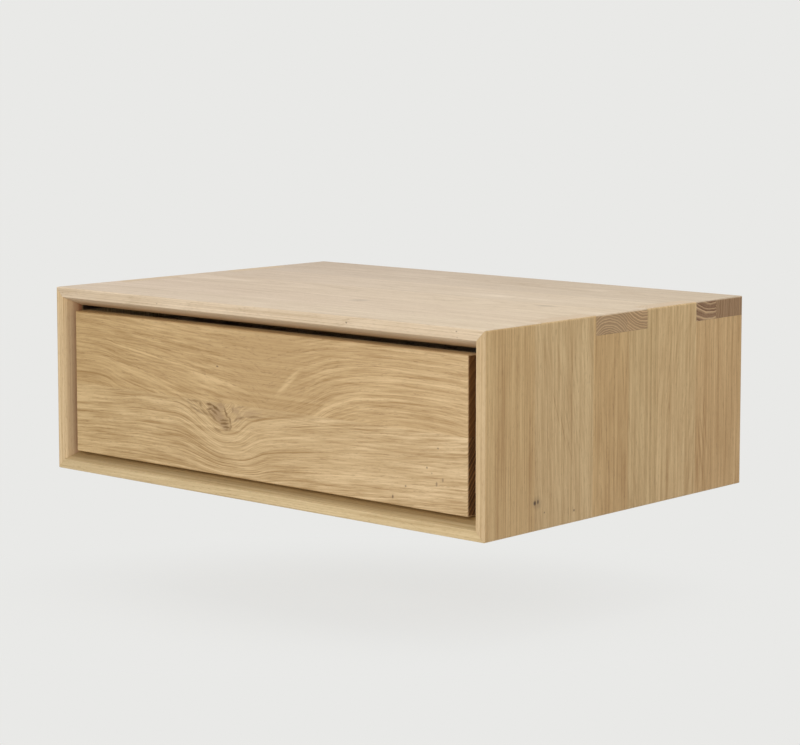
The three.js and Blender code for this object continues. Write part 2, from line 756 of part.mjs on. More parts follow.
function capsule(x0, y0, x1, y1, radius) {
  const angle = Math.atan2(y1 - y0, x1 - x0);
  const quarter = Math.PI / 2;
  const shape = new THREE.Shape();
  shape.absarc(x1, y1, radius, angle - quarter, angle + quarter);
  shape.absarc(x0, y0, radius, angle + quarter, angle + quarter + Math.PI);
  return shape;
}

// The release lever turns about the lock's pin: a thumb pad in front, a nose behind
function releaseLever(side) {
  const x = side * leverX;
  const rootX = side * (noseTipX - leverNoseBite - lockGap - lockWall - leverArmRadius - leverPlay);
  const noseY = leverY + leverNoseBack;
  const padX = side * (leverX - leverPadAside);
  const padY = leverY - leverPadForward;
  return prism('z', capsule(x, leverY, padX, padY, leverArmRadius), leverLowZ, leverTopZ)
    .add(prism('z', capsule(padX, padY, padX, padY + leverPadRadius, leverPadRadius), leverLowZ, leverTopZ))
    .add(prism('z', capsule(x, leverY, rootX, noseY, leverArmRadius), leverLowZ, leverTopZ))
    .add(block(side * noseTipX, side * (noseTipX - leverNoseRoot),
      noseY - leverNoseWidth / 2, noseY + leverNoseWidth / 2, leverLowZ, leverTopZ))
    .add(rod(leverBossRadius, leverThick, tubeFacets, axisZ, x, leverY, leverLowZ))
    .subtract(rod(leverPinRadius + leverPlay, leverThick + cutOverrun * 2, roundFacets, axisZ,
      x, leverY, leverLowZ - cutOverrun));
}

// The push latch: a blind tube on a saddle, a plunger with a rubber tip and a spring behind it
function latchScrewPlaces() {
  const y = latchFrontY + latchLength / 2;
  const x = saddleWidth / 2 - saddleScrewIn;
  return [-1, 1].map((side) => [axisZ, side * x, y, floorZ + saddleThick]);
}

function latchHousing() {
  const saddleFront = latchFrontY + (latchLength - saddleLength) / 2;
  const saddleRear = saddleFront + saddleLength;
  const saddleShape = roundedRect(-saddleWidth / 2, saddleWidth / 2, saddleFront, saddleRear, saddleCorner);
  const boreLength = latchLength - latchRearWall;
  let housing = prism('z', saddleShape, floorZ, floorZ + saddleThick)
    .add(block(-saddleWebWidth / 2, saddleWebWidth / 2, saddleFront, saddleRear, floorZ, latchZ))
    .add(rod(latchOuterRadius, latchLength, tubeFacets, axisY, 0, latchFrontY, latchZ))
    .subtract(rod(boreRadius, boreLength + cutOverrun, tubeFacets, axisY,
      0, latchFrontY - cutOverrun, latchZ));
  for (const [direction, x, y, z] of latchScrewPlaces()) {
    housing = housing.subtract(screwHole(direction, x, y, z));
  }
  return housing;
}

function latchPlunger() {
  return rod(plungerRadius, plungerLength, tubeFacets, axisY, 0, plungerFrontY, latchZ);
}

function latchTip() {
  const profile = [
    [0, 0],
    [tipRadius - tipArris, 0],
    [tipRadius, tipArris],
    [tipRadius, tipLength],
    [0, tipLength],
  ];
  return turned(profile, tubeFacets, axisY, 0, tipFrontY, latchZ);
}

class SpringCurve extends THREE.Curve {
  constructor(startY, endY) {
    super();
    this.startY = startY;
    this.endY = endY;
  }

  getPoint(t, target = new THREE.Vector3()) {
    const angle = t * springTurns * Math.PI * 2;
    return target.set(
      springRadius * Math.cos(angle),
      this.startY + (this.endY - this.startY) * t,
      latchZ + springRadius * Math.sin(angle),
    );
  }
}

function latchSpring() {
  const startY = plungerRearY + springGap + springWire;
  const endY = latchRearY - latchRearWall - springGap - springWire;
  const section = outlineOf(Array.from({ length: springFacets }, (_, corner) => {
    const angle = corner * Math.PI * 2 / springFacets;
    return [springWire * Math.cos(angle), springWire * Math.sin(angle)];
  }));
  return solid(new THREE.ExtrudeGeometry(section, {
    steps: springTurns * springStepsPerTurn,
    extrudePath: new SpringCurve(startY, endY),
    bevelEnabled: false,
  }));
}

// The assembly, with the case's own underside at the height that puts the origin on the cleat
const nightstand = new THREE.Group();
nightstand.position.z = -originZ;

function place(name, finish, body) {
  const mesh = body.getMesh();
  const geometry = new THREE.BufferGeometry();
  geometry.setAttribute('position', new THREE.BufferAttribute(mesh.vertProperties, 3));
  geometry.setIndex(new THREE.BufferAttribute(mesh.triVerts, 1));
  geometry.computeVertexNormals();
  const piece = new THREE.Mesh(geometry, new THREE.MeshStandardMaterial(finish));
  piece.name = name;
  nightstand.add(piece);
}

place('top_panel', oak, topPanel());
place('bottom_panel', oak, bottomPanel());
place('back_panel', birchPly, backPanelSolid(0));
place('hanging_rail', beech, hangingRail());
place('wall_cleat', beech, wallCleat());
place('spacer_batten', beech, spacerBatten());

place('drawer_front', oakDrawer, drawerFront());
place('drawer_back', beech, drawerBack());
place('drawer_bottom', birchPly, drawerBottom());
bottomScrewPlaces().forEach(([direction, x, y, z], index) => {
  place(`drawer_bottom_screw_${index + 1}`, zincSteel, makeScrew(direction, x, y, z));
});

for (const [hand, side] of [['left', -1], ['right', 1]]) {
  place(`${hand}_side`, oak, sidePanel(side));
  place(`${hand}_mitre_tongue`, birchPly, tongueSolid(side, 0));
  for (const [name, z] of dowelPlaces) {
    place(`${hand}_${name}`, beech, dowelSolid(side, z, 0));
  }
  place(`drawer_${hand}_side`, beech, drawerSide(side));
  place(`${hand}_cabinet_profile`, zincSteel, cabinetProfile(side));
  place(`${hand}_middle_profile`, zincSteel, middleProfile(side));
  place(`${hand}_drawer_profile`, zincSteel, drawerProfile(side));
  place(`${hand}_lower_ball_cage`, ballSteel, ballCage(side, railHeadHalf));
  place(`${hand}_upper_ball_cage`, ballSteel, ballCage(side, middleHalf));
  runnerScrewPlaces(side).forEach(([direction, x, y, z], index) => {
    place(`${hand}_runner_screw_${index + 1}`, zincSteel, makeScrew(direction, x, y, z));
  });
  place(`${hand}_lock_body`, greyPlastic, lockBody(side));
  place(`${hand}_release_lever`, orangePlastic, releaseLever(side));
  lockScrewPlaces(side).forEach(([direction, x, y, z], index) => {
    place(`${hand}_lock_screw_${index + 1}`, zincSteel, makeScrew(direction, x, y, z));
  });
}

place('push_latch_housing', greyPlastic, latchHousing());
place('push_latch_plunger', greyPlastic, latchPlunger());
place('push_latch_tip', rubber, latchTip());
place('push_latch_spring', zincSteel, latchSpring());
latchScrewPlaces().forEach(([direction, x, y, z], index) => {
  place(`push_latch_screw_${index + 1}`, zincSteel, makeScrew(direction, x, y, z));
});

export default nightstand;
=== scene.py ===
import math

import bmesh
import bpy
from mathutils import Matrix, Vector


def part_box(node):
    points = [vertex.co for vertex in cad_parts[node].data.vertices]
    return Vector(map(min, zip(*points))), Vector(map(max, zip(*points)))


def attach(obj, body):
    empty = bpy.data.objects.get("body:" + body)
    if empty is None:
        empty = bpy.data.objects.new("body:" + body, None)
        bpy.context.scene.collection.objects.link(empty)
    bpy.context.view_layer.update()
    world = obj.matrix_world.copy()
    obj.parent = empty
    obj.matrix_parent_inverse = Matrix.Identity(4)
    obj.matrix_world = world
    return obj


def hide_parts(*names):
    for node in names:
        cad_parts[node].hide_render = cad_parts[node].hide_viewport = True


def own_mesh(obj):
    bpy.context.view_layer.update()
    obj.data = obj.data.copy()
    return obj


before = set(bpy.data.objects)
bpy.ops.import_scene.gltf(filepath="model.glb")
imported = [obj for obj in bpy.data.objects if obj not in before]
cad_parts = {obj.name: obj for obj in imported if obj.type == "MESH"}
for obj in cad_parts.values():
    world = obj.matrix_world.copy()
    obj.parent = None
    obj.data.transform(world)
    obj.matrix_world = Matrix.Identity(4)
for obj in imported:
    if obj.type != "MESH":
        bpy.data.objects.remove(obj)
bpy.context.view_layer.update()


# Case boards. Top, bottom and two sides are edge-glued oak staves, mitred at the corners, with
# square fingers in the top ones, and sanded flush and oiled after the glue has set.
def srgb(red, green, blue):
    """A colour as it looks on a screen, 0 to 255, as the shader's own numbers"""
    shares = [level / 255 for level in (red, green, blue)]
    return (*[s / 12.92 if s <= 0.04045 else ((s + 0.055) / 1.055) ** 2.4 for s in shares], 1)


def add(tree, kind, settings=None, **inputs):
    """A node with its settings. Each input takes a value or another node's output"""
    node = tree.nodes.new("ShaderNode" + kind)
    for name, value in (settings or {}).items():
        setattr(node, name, value)
    for name, value in inputs.items():
        key = int(name[1:]) if name[0] == "i" and name[1:].isdigit() else name.replace("_", " ")
        if isinstance(value, bpy.types.NodeSocket):
            tree.links.new(value, node.inputs[key])
        else:
            node.inputs[key].default_value = value
    return node


def calc(tree, operation, *terms, clamp=False):
    """One sum on values: ADD, MULTIPLY, POWER and so on"""
    inputs = {f"i{index}": term for index, term in enumerate(terms)}
    return add(tree, "Math", {"operation": operation, "use_clamp": clamp}, **inputs).outputs[0]


def remap(tree, value, low, high, to_low=0.0, to_high=1.0, smooth=False):
    """The value's place between low and high, as a place between to_low and to_high"""
    kind = {"interpolation_type": "SMOOTHSTEP" if smooth else "LINEAR"}
    node = add(tree, "MapRange", kind, i0=value, i1=low, i2=high, i3=to_low, i4=to_high)
    return node.outputs[0]


def vector(tree, x, y, z):
    return add(tree, "CombineXYZ", None, i0=x, i1=y, i2=z).outputs[0]


def split(tree, value):
    """The three parts of a vector"""
    return add(tree, "SeparateXYZ", None, i0=value).outputs


def noise(tree, place, detail, roughness=0.5, output=0):
    """Noise with one wave to a unit of place: its value, or its colour as output 1"""
    node = add(tree, "TexNoise", None, Vector=place, Scale=1.0, Detail=detail, Roughness=roughness)
    return node.outputs[output]


def fibres(tree, along, across, through, along_rate, across_rate, detail, roughness=0.5, output=0,
           offset=0.0):
    """Noise that is drawn out along the grain, at so many waves a metre along and across it"""
    return noise(tree, vector(
        tree, calc(tree, "MULTIPLY", along, along_rate),
        calc(tree, "MULTIPLY_ADD", across, across_rate, offset),
        calc(tree, "MULTIPLY", through, across_rate)), detail, roughness, output)


def blend(tree, share, first, second, mode="MIX"):
    """A share of the second colour over the first"""
    settings = {"data_type": "RGBA", "blend_type": mode}
    return add(tree, "Mix", settings, i0=share, i6=first, i7=second).outputs[2]


def new_group(name, takes, gives):
    """A shader group with named sockets, each given as name: VALUE, COLOR or VECTOR"""
    tree = bpy.data.node_groups.new(name, "ShaderNodeTree")
    kinds = {"VALUE": "NodeSocketFloat", "COLOR": "NodeSocketColor", "VECTOR": "NodeSocketVector"}
    for side, names in (("INPUT", takes), ("OUTPUT", gives)):
        for label, kind in names.items():
            tree.interface.new_socket(label, in_out=side, socket_type=kinds[kind])
    given, result = tree.nodes.new("NodeGroupInput"), tree.nodes.new("NodeGroupOutput")
    return tree, given.outputs, result.inputs


def use_group(tree, group, **inputs):
    """The outputs of a group, with each input given as a value or another node's output"""
    node = tree.nodes.new("ShaderNodeGroup")
    node.node_tree = group
    for name, value in inputs.items():
        if isinstance(value, bpy.types.NodeSocket):
            tree.links.new(value, node.inputs[name.replace("_", " ")])
        else:
            node.inputs[name.replace("_", " ")].default_value = value
    return node.outputs


def procedural(name):
    """A new material, its node tree, its shader and the coordinates of the piece it is on"""
    material = bpy.data.materials.new(name)
    material.use_nodes = True
    tree = material.node_tree
    return material, tree, tree.nodes["Principled BSDF"], add(tree, "TexCoord").outputs


def dress(tree, shader, color, roughness, height, strength, depth):
    """Gives the shader its colour, its roughness and a bump as deep as said, in metres"""
    tree.links.new(color, shader.inputs["Base Color"])
    tree.links.new(roughness, shader.inputs["Roughness"])
    bump = add(tree, "Bump", None, Strength=strength, Distance=depth, Height=height)
    tree.links.new(bump.outputs[0], shader.inputs["Normal"])


def make_oak_grain():
    """Growth rings round a pith that lies beside or behind the stave, fine streaks and pores.
    Rates are in waves a metre, and places and sways in metres"""
    tree, given, result = new_group(
        "oak grain",
        {"Along": "VALUE", "Across": "VALUE", "Through": "VALUE", "Unbent": "VALUE",
         "Pith Across": "VALUE", "Pith Through": "VALUE", "Taper": "VALUE", "Sway": "VALUE",
         "Ring Rate": "VALUE"},
        {"Lines": "VALUE", "Flecks": "VALUE", "Threads": "VALUE", "Early Wood": "VALUE",
         "Pores": "VALUE"})
    along, across, through = given["Along"], given["Across"], given["Through"]
    pith_shift, taper_shift = 310.0, 770.0  # each stave's noise starts at a place of its own
    offset = calc(tree, "MULTIPLY_ADD", given["Pith Across"], pith_shift,
                  calc(tree, "MULTIPLY", given["Taper"], taper_shift))

    def swing(total, *parts):
        """The total, and each noise's swing round its middle times its weight"""
        for part, weight in parts:
            total = calc(tree, "MULTIPLY_ADD", calc(tree, "SUBTRACT", part, 0.5), weight, total)
        return total

    bent, unbent = (tree, along, across, through), (tree, along, given["Unbent"], through)
    slow = split(tree, fibres(*bent, 4.0, 13.0, 2.0, output=1, offset=offset))
    side = swing(calc(tree, "SUBTRACT", across, given["Pith Across"]), (slow[0], given["Sway"]))
    depth = swing(calc(tree, "SUBTRACT", through, given["Pith Through"]), (slow[1], given["Sway"]))
    reach = calc(tree, "SQRT", calc(tree, "ADD", calc(tree, "MULTIPLY", side, side),
                                    calc(tree, "MULTIPLY", depth, depth)))
    ring_wobble = 0.0018
    wobble = fibres(*bent, 12.0, 150.0, 1.0, offset=offset)
    ring = calc(tree, "MULTIPLY_ADD", along, given["Taper"], swing(reach, (wobble, ring_wobble)))

    def ring_lines(ring_rate, along_rate):
        """Noise that follows the growth rings"""
        return noise(tree, vector(tree, calc(tree, "MULTIPLY", ring, ring_rate),
                                  calc(tree, "MULTIPLY", along, along_rate), offset), 2.0, 0.55)

    broad, medium, fine = ring_lines(130.0, 2.5), ring_lines(420.0, 7.0), ring_lines(1150.0, 26.0)
    year = calc(tree, "FRACT", calc(tree, "MULTIPLY_ADD", ring, given["Ring Rate"], calc(
        tree, "MULTIPLY", broad, 2.0)))
    early = calc(tree, "POWER", calc(tree, "SUBTRACT", 1.0, year), 3.0)
    early = calc(tree, "MULTIPLY", early, remap(tree, year, 0.0, 0.12, smooth=True))
    cloud = fibres(*bent, 14.0, 45.0, 3.0, 0.6, offset=offset)
    dash = fibres(*bent, 170.0, 1500.0, 2.0, offset=offset)
    thick_thread = fibres(*unbent, 1.5, 330.0, 2.0, 0.6, offset=offset)
    thin_thread = fibres(*unbent, 5.0, 850.0, 2.0, 0.6, offset=offset)
    pores = calc(tree, "MULTIPLY", remap(tree, dash, 0.54, 0.68, smooth=True),
                 calc(tree, "MULTIPLY_ADD", early, 0.8, 0.45))
    parts = {
        "Lines": swing(calc(tree, "MULTIPLY_ADD", early, -0.30, 0.05), (broad, 0.8), (medium, 1.0)),
        "Flecks": swing(0.0, (fine, 1.5), (cloud, 0.9)),
        "Threads": swing(0.0, (thick_thread, 0.7), (thin_thread, 1.0)),
        "Early Wood": early,
        "Pores": pores,
    }
    for label, part in parts.items():
        tree.links.new(part, result[label])
    return tree


def make_oak_colour():
    """Oiled oak from its grain: dark pores, and end grain that drinks the oil and turns brown"""
    tree, given, result = new_group(
        "oak colour",
        {"Tone": "VALUE", "Early Wood": "VALUE", "Pores": "VALUE", "End Grain": "VALUE",
         "Light Wood": "COLOR", "Dark Wood": "COLOR", "End Light": "COLOR", "End Dark": "COLOR"},
        {"Color": "COLOR", "Roughness": "VALUE", "Height": "VALUE"})
    face = blend(tree, given["Tone"], given["Dark Wood"], given["Light Wood"])
    pore_wood = blend(tree, 1.0, given["Dark Wood"], srgb(196, 182, 160), "MULTIPLY")
    face = blend(tree, calc(tree, "MULTIPLY", given["Pores"], 0.4), face, pore_wood)
    rings = calc(tree, "MULTIPLY_ADD", given["Early Wood"], 0.8,
                 remap(tree, given["Tone"], 0.3, 1.0, 0.0, 0.25))
    end = blend(tree, rings, given["End Dark"], given["End Light"])
    color = blend(tree, given["End Grain"], face, end)
    tree.links.new(color, result["Color"])
    tree.links.new(remap(tree, given["Tone"], 0.0, 1.0, 0.62, 0.50), result["Roughness"])
    tree.links.new(calc(tree, "MULTIPLY_ADD", given["Pores"], -0.7, calc(
        tree, "MULTIPLY", given["Early Wood"], -0.3)), result["Height"])
    return tree


oak_grain = make_oak_grain()
oak_colour = make_oak_colour()


def stave_ramp(tree, share, staves, column):
    """What a stave table says in one column, across the board: constant over each stave"""
    node = add(tree, "ValToRGB", None, Fac=share)
    ramp = node.color_ramp
    ramp.interpolation = "CONSTANT"
    while len(ramp.elements) < len(staves):
        ramp.elements.new(1.0)
    for stop, stave in zip(ramp.elements, staves):
        stop.position = stave[0]
        stop.color = (*stave[column][:3], 1)
    return node.outputs[0]


def marks_mask(tree, along, across, marks):
    """Pin knots, specks and streaks: each at a place, with its half sizes, strength and tilt"""
    total = 0.0
    for at_along, at_across, half_along, half_across, strength, *tilt in marks:
        u = calc(tree, "SUBTRACT", along, at_along)
        v = calc(tree, "SUBTRACT", across, at_across)
        if tilt:
            cos, sin = math.cos(math.radians(tilt[0])), math.sin(math.radians(tilt[0]))
            u, v = (calc(tree, "MULTIPLY_ADD", u, cos, calc(tree, "MULTIPLY", v, sin)),
                    calc(tree, "MULTIPLY_ADD", v, cos, calc(tree, "MULTIPLY", u, -sin)))
        u = calc(tree, "DIVIDE", u, half_along)
        v = calc(tree, "DIVIDE", v, half_across)
        away = calc(tree, "SQRT", calc(tree, "MULTIPLY_ADD", u, u, calc(tree, "MULTIPLY", v, v)))
        mark = calc(tree, "MULTIPLY", remap(tree, away, 1.0, 0.2, smooth=True), strength)
        total = calc(tree, "MAXIMUM", total, mark)
    return total


pin_knot = srgb(74, 52, 34)
# painted shade: a dark brown laid on the inner faces in the gap over the drawer
painted_gap_shade = srgb(56, 46, 38)
bevel_shade_reach = (-0.3785, -0.3640)  # from the frame's front to where the bevel ends, along y; the painted shade on the bevel deepens over this reach
gap_shade_depths = (-0.3640, -0.3600)  # the first few millimetres behind it, over which the painted shade in the gap fades in
gap_shade_heights = (0.0600, 0.0640)  # the heights over which the painted shade in the gap above the drawer fades in
pith_reach = (-0.6, 0.6)  # metres that a stave table's shares of 0 and 1 stand for
taper_reach = (-0.5, 0.5)


def oak_board(name, grain_axis, across_axis, extent, staves, woods, marks=(), edge=None, sway=0.012,
              bend=None, calm=1.0, grit=1.0, thread=0.5, tint_and_shade_ramp=None, knot=None, ends=None,
              light_streaks=(), dark_streaks=()):
    """The oak of one board: staves are (start share, pith and taper shares, tint), woods are light,
    dark, end light and end dark, tint_and_shade_ramp is two places along the grain and the
    tints there (painted shade on the drawer front), ends are (start share, ring rate in
    thousands, end dark, end light) of the end grain, and edge is the board's front edge: its tint
    and marks, and the axis, side and painted shade tint of its inner bevel. The bevel's painted
    shade deepens towards its inner end, and inner faces just behind the bevel, above the drawer's
    top, get a painted dark shade for the gap over the drawer. Calm, grit and thread weigh the
    rings' lines, the short flecks and the straight streaks"""
    material, tree, shader, coordinates = procedural(name)
    place, facing = split(tree, coordinates["Object"]), split(tree, coordinates["Normal"])
    through_axis = 3 - grain_axis - across_axis
    along, across, through = place[grain_axis], place[across_axis], place[through_axis]
    share = remap(tree, across, *extent)
    pith = split(tree, stave_ramp(tree, share, staves, 1))
    tint = stave_ramp(tree, share, staves, 2)
    if tint_and_shade_ramp:
        low, high, low_tint, high_tint = tint_and_shade_ramp
        tint = blend(tree, 1.0, tint, blend(
            tree, remap(tree, along, low, high), (*low_tint, 1), (*high_tint, 1)), "MULTIPLY")
    if edge:
        edge_tint, edge_marks, inner_axis, inner_side, bevel_shade_tint = edge
        fore = remap(tree, facing[1], -0.2, -0.4)
        tint = blend(tree, fore, tint, (*edge_tint, 1))
    bent = bend(tree, along, across) if bend else across
    light, dark, end_light, end_dark = [srgb(*wood) for wood in woods]
    ring_rate = 330.0
    if ends:
        rates = split(tree, stave_ramp(tree, share, ends, 1))
        ring_rate = calc(tree, "MULTIPLY", rates[0], 1000.0)
        end_dark, end_light = [stave_ramp(tree, share, ends, column) for column in (2, 3)]
    grain = use_group(
        tree, oak_grain, Along=along, Across=bent, Through=through, Unbent=across,
        Pith_Across=remap(tree, pith[0], 0.0, 1.0, *pith_reach),
        Pith_Through=remap(tree, pith[1], 0.0, 1.0, *pith_reach),
        Taper=remap(tree, pith[2], 0.0, 1.0, *taper_reach), Sway=sway, Ring_Rate=ring_rate)
    strength = calm(tree, along, across) if callable(calm) else calm
    flecks = calc(tree, "MULTIPLY", grain["Flecks"],
                  calc(tree, "MULTIPLY_ADD", strength, grit, grit * 0.15))
    if edge:
        flecks = calc(tree, "MULTIPLY", flecks, remap(tree, fore, 0.0, 1.0, 1.0, 0.4))
        thread = remap(tree, fore, 0.0, 1.0, thread, 1.4)
    tone = calc(tree, "MULTIPLY_ADD", grain["Threads"], thread, calc(
        tree, "ADD", calc(tree, "MULTIPLY_ADD", grain["Lines"], strength, 0.55), flecks))
    if light_streaks:
        tone = calc(tree, "ADD", tone, marks_mask(tree, along, bent, light_streaks))
    if dark_streaks:
        tone = calc(tree, "SUBTRACT", tone, marks_mask(tree, along, bent, dark_streaks))
    tone = calc(tree, "MULTIPLY", tone, 1.0, clamp=True)
    end = remap(tree, calc(tree, "ABSOLUTE", facing[grain_axis]), 0.75, 0.92, smooth=True)
    oak = use_group(
        tree, oak_colour, Tone=tone, Early_Wood=grain["Early Wood"], Pores=grain["Pores"],
        End_Grain=end, Light_Wood=blend(tree, 1.0, light, tint, "MULTIPLY"),
        Dark_Wood=blend(tree, 1.0, dark, tint, "MULTIPLY"), End_Light=end_light, End_Dark=end_dark)
    color = oak["Color"]
    if edge:
        inwards = calc(tree, "MULTIPLY", facing[inner_axis], inner_side)
        slant = calc(tree, "MULTIPLY", calc(tree, "MULTIPLY", inwards, -1.0), facing[1])
        # Painted shade: the inner bevel is darkened by its tint, more towards its inner end, as a
        # recess in shade
        bevel_shade = calc(tree, "MULTIPLY", remap(tree, slant, 0.15, 0.33, smooth=True),
                     calc(tree, "MULTIPLY", fore, remap(tree, place[1], *bevel_shade_reach)))
        color = blend(tree, bevel_shade, color, srgb(*bevel_shade_tint), "MULTIPLY")
        # Painted shade: inner faces behind the bevel, above the drawer's top, are darkened where
        # the gap over the drawer lies in shade
        gap_shade_mask = calc(tree, "MULTIPLY", remap(tree, inwards, 0.92, 0.99),
                      remap(tree, place[2], *gap_shade_heights))
        gap_shade_mask = calc(tree, "MULTIPLY", gap_shade_mask, remap(tree, place[1], *gap_shade_depths))
        color = blend(tree, gap_shade_mask, color, painted_gap_shade, "MULTIPLY")
        dots = calc(tree, "MULTIPLY", marks_mask(tree, along, through, edge_marks), fore)
        color = blend(tree, dots, color, pin_knot)
    if knot:
        color = knot(tree, along, across, color)
    if marks:
        color = blend(tree, marks_mask(tree, along, across, marks), color, pin_knot)
    dress(tree, shader, color, oak["Roughness"], oak["Height"], 0.35, 0.0002)
    return material


def finish_with(material, *names):
    """Puts the material on the CAD nodes of these names"""
    for name in names:
        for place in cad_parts[name].material_slots:
            place.material = material


board_reach = (-0.38, 0.0)
# The top's woods are paler and less yellow than the other boards': partly its own tone, partly a
# painted sheen for the grazing reflection on its top face
top_woods_and_sheen = [(229, 208, 180), (193, 169, 137), (196, 168, 132), (140, 108, 76)]
top_staves = [
    (0.0, (0.36, 0.58, 0.52), (1.0, 1.0, 1.0)),
    (0.142, (0.30, 0.53, 0.48), (0.98, 0.97, 0.97)),
    (0.330, (0.323, 0.535, 0.53), (0.99, 0.985, 0.98)),
    (0.518, (0.371, 0.597, 0.50), (0.96, 0.96, 0.97)),
    (0.707, (0.457, 0.601, 0.47), (0.880, 0.875, 0.882)),
    (0.886, (0.75, 0.558, 0.52), (0.835, 0.825, 0.822)),
]
top_ends = [
    (0.0, (0.33, 0.0, 0.0), srgb(146, 116, 86), srgb(196, 168, 132)),
    (0.330, (0.40, 0.0, 0.0), srgb(150, 118, 80), srgb(240, 204, 158)),
    (0.518, (0.36, 0.0, 0.0), srgb(156, 122, 82), srgb(250, 212, 164)),
    (0.707, (0.19, 0.0, 0.0), srgb(114, 74, 42), srgb(255, 218, 168)),
    (0.882, (0.30, 0.0, 0.0), srgb(140, 106, 70), srgb(196, 158, 118)),
]
top_marks = [
    (0.033, -0.273, 0.015, 0.012, 0.20), (0.033, -0.273, 0.007, 0.005, 0.25),
    (0.193, -0.197, 0.016, 0.010, 0.20), (0.190, -0.198, 0.008, 0.004, 0.22),
]
top_dots = [(-0.1284, 0.0800, 0.0011, 0.0009, 0.5), (0.1167, 0.0808, 0.0013, 0.0011, 0.8),
            (0.2437, 0.0831, 0.0014, 0.0009, 0.6), (0.2445, 0.0781, 0.0014, 0.0008, 0.3)]
# The last colour in the top's edge is the painted shade tint of its inner bevel
top_oak = oak_board(
    "oak top", 0, 1, board_reach, top_staves, top_woods_and_sheen, top_marks,
    edge=((1.0, 1.0, 1.0), top_dots, 2, -1, (226, 206, 179)), calm=0.7, grit=0.5, thread=0.45,
    ends=top_ends, tint_and_shade_ramp=(-0.25, 0.25, (0.94, 0.945, 1.0), (0.985, 1.0, 1.005)))
bottom_woods = [(232, 208, 165), (192, 164, 119), (190, 162, 124), (132, 100, 68)]
# The last colour in the bottom's edge is the painted shade tint of its inner bevel
bottom_oak = oak_board(
    "oak bottom", 0, 1, board_reach, top_staves, bottom_woods,
    edge=((0.885, 0.87, 0.82), (), 2, 1, (186, 166, 124)), calm=0.8)
side_woods = [(229, 203, 160), (190, 157, 113), (222, 200, 170), (196, 171, 139)]
side_staves = [
    (0.0, (0.45, 0.62, 0.505), (0.87, 0.785, 0.64)),
    (0.173, (0.40, 0.55, 0.43), (0.915, 0.865, 0.765)),
    (0.388, (0.40, 0.42, 0.50), (0.85, 0.745, 0.585)),
    (0.526, (0.30, 0.56, 0.525), (0.915, 0.86, 0.735)),
    (0.637, (0.50, 0.53, 0.54), (1.0, 0.95, 0.84)),
    (0.800, (0.36, 0.60, 0.497), (0.93, 0.825, 0.68)),
]
# painted shade tint for the inner bevels of both sides
side_bevel_shade = (154, 116, 88)
# darker towards the bottom of each side, lighter towards its top
side_height_tint = (-0.08, 0.07, (0.96, 0.955, 0.955), (1.035, 1.04, 1.04))
side_streaks = [
    (0.000, -0.3590, 0.200, 0.0070, 0.22), (0.000, -0.3000, 0.100, 0.0160, 0.12),
    (0.045, -0.2975, 0.042, 0.0016, 0.5), (0.060, -0.3000, 0.022, 0.0030, 0.3),
    (0.010, -0.2840, 0.030, 0.0010, 0.45, -18), (-0.010, -0.2740, 0.030, 0.0010, 0.45, -16),
    (0.030, -0.1880, 0.045, 0.0014, 0.45, -4), (0.000, -0.1360, 0.080, 0.0012, 0.3),
    (0.010, -0.0390, 0.080, 0.0010, 0.55), (-0.045, -0.0690, 0.036, 0.0020, 0.45, -7),
    (-0.030, -0.0600, 0.036, 0.0016, 0.4, -10), (-0.070, -0.0720, 0.022, 0.0022, 0.45),
    (-0.060, -0.1890, 0.035, 0.0022, 0.35), (-0.040, -0.0640, 0.030, 0.0016, 0.5, -12),
    (-0.062, -0.0655, 0.026, 0.0018, 0.5, -9), (0.000, -0.2690, 0.026, 0.0009, 0.35, -19),
    (-0.030, -0.2640, 0.022, 0.0009, 0.35, -19), (0.030, -0.3550, 0.080, 0.0010, 0.3),
    (0.055, -0.2620, 0.030, 0.0009, 0.45), (0.058, -0.2570, 0.028, 0.0009, 0.4),
    (-0.050, -0.1960, 0.050, 0.0012, 0.4),
]
side_lights = [(0.000, -0.2450, 0.150, 0.0180, 0.22), (0.000, -0.3720, 0.200, 0.0090, 0.16),
               (0.000, -0.1375, 0.090, 0.0009, 0.5), (0.030, -0.2360, 0.060, 0.0030, 0.3),
               (0.060, -0.2500, 0.030, 0.0016, 0.3)]
side_marks = [(-0.0687, -0.3127, 0.0034, 0.0030, 0.95), (-0.0682, -0.3085, 0.0034, 0.0022, 0.85),
              (-0.0690, -0.310, 0.008, 0.009, 0.25),
              (-0.0787, -0.2995, 0.0012, 0.0012, 0.6), (-0.0827, -0.258, 0.0016, 0.0016, 0.7)]
right_oak = oak_board(
    "oak right side", 2, 1, board_reach, side_staves, side_woods, side_marks,
    edge=((0.84, 0.82, 0.785), (), 0, -1, side_bevel_shade), calm=0.5, thread=1.6, tint_and_shade_ramp=side_height_tint,
    light_streaks=side_lights, dark_streaks=side_streaks)
left_oak = oak_board(
    "oak left side", 2, 1, board_reach, side_staves, side_woods,
    edge=((1.0, 1.0, 1.0), (), 0, 1, side_bevel_shade), calm=0.5, thread=1.6, tint_and_shade_ramp=side_height_tint)
finish_with(top_oak, "top_panel")
finish_with(bottom_oak, "bottom_panel")
finish_with(right_oak, "right_side")
finish_with(left_oak, "left_side")

# Drawer front. Two oak staves glued one above the other, with a knot at the glue line, its edges
# rounded by sanding. It has no handle: the push latch behind it opens the drawer.
front_staves = [
    (0.0, (0.10, 0.62, 0.50), (1.01, 1.015, 1.03)),
    (0.491, (0.12, 0.60, 0.50), (0.975, 0.955, 0.92)),
]
front_woods = [(216, 187, 142), (164, 131, 84), (140, 100, 66), (84, 54, 34)]
# The drawer front's end grain is darker than its wood alone: partly painted shade for the shade in
# the gaps at its ends
front_end_grain_and_shade = [
    (0.0, (0.26, 0.0, 0.0), srgb(70, 43, 18), srgb(172, 124, 72)),
    (0.491, (0.20, 0.0, 0.0), srgb(102, 66, 30), srgb(144, 102, 54)),
]
glue_height = 0.0867  # over the case's underside
glue_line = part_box("bottom_panel")[0].z + glue_height


